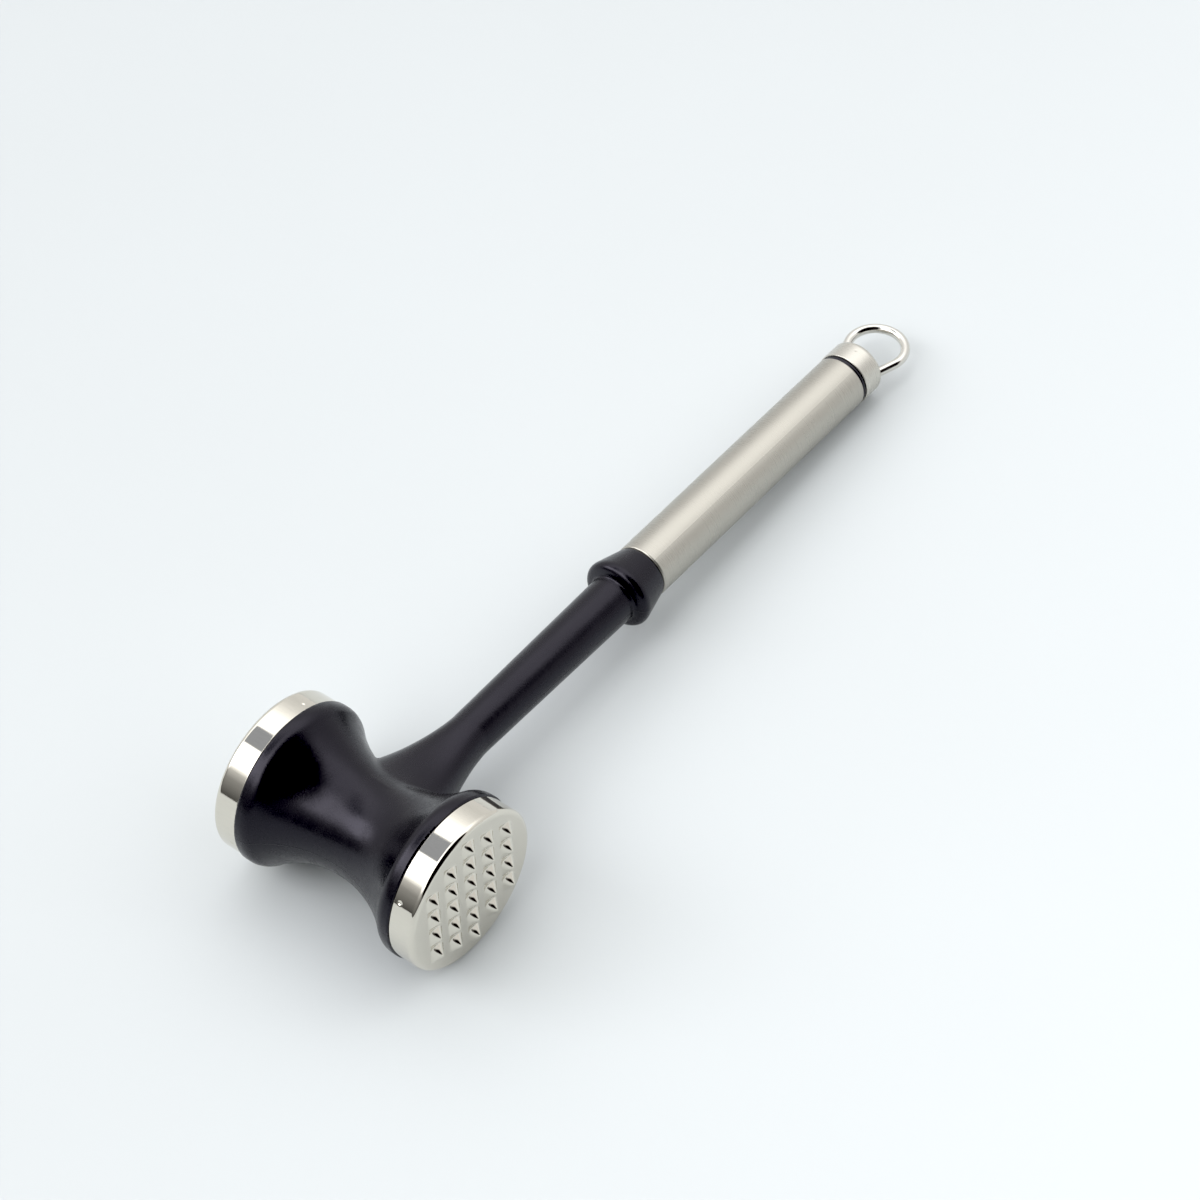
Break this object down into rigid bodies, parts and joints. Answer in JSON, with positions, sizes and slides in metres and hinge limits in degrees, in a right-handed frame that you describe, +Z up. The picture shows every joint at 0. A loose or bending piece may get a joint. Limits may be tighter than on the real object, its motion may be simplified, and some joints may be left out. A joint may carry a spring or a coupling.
{
  "type": "meat mallet",
  "caption": "Two-sided meat mallet: weighted moulded head with a toothed and a smooth pressed steel cap, steel tube handle and wire hanging loop.",
  "frame": {"origin": "under the middle of the tool lying at rest, on the surface it lies on", "axes": "+X out of the toothed face along the head, +Y along the handle towards the hanging loop, +Z up; the tool lies on both head flanges and the rim of its end cap, so the handle slopes down by about 4 degrees towards +Y"},
  "size_m": [0.08, 0.2988, 0.0548],
  "materials": {
    "head_nylon": "fine matte moulded black nylon",
    "plug_nylon": "matte black nylon",
    "cap_steel": "bright pressed stainless steel, satin face",
    "tube_steel": "stainless steel tube ground round its axis",
    "end_cap_steel": "satin stainless steel",
    "wire_steel": "bright drawn stainless wire",
    "inner_steel": "plain turned steel"
  },
  "bodies": {
    "root": {"head_moulding": "head_nylon", "toothed_cap": "cap_steel", "smooth_cap": "cap_steel", "head_core": "inner_steel", "tie_rod": "inner_steel", "handle_tube": "tube_steel", "rear_plug": "plug_nylon", "rod_washer": "inner_steel", "rod_nut": "inner_steel", "end_cap": "end_cap_steel", "hanging_loop": "wire_steel"}
  },
  "joints": []
}
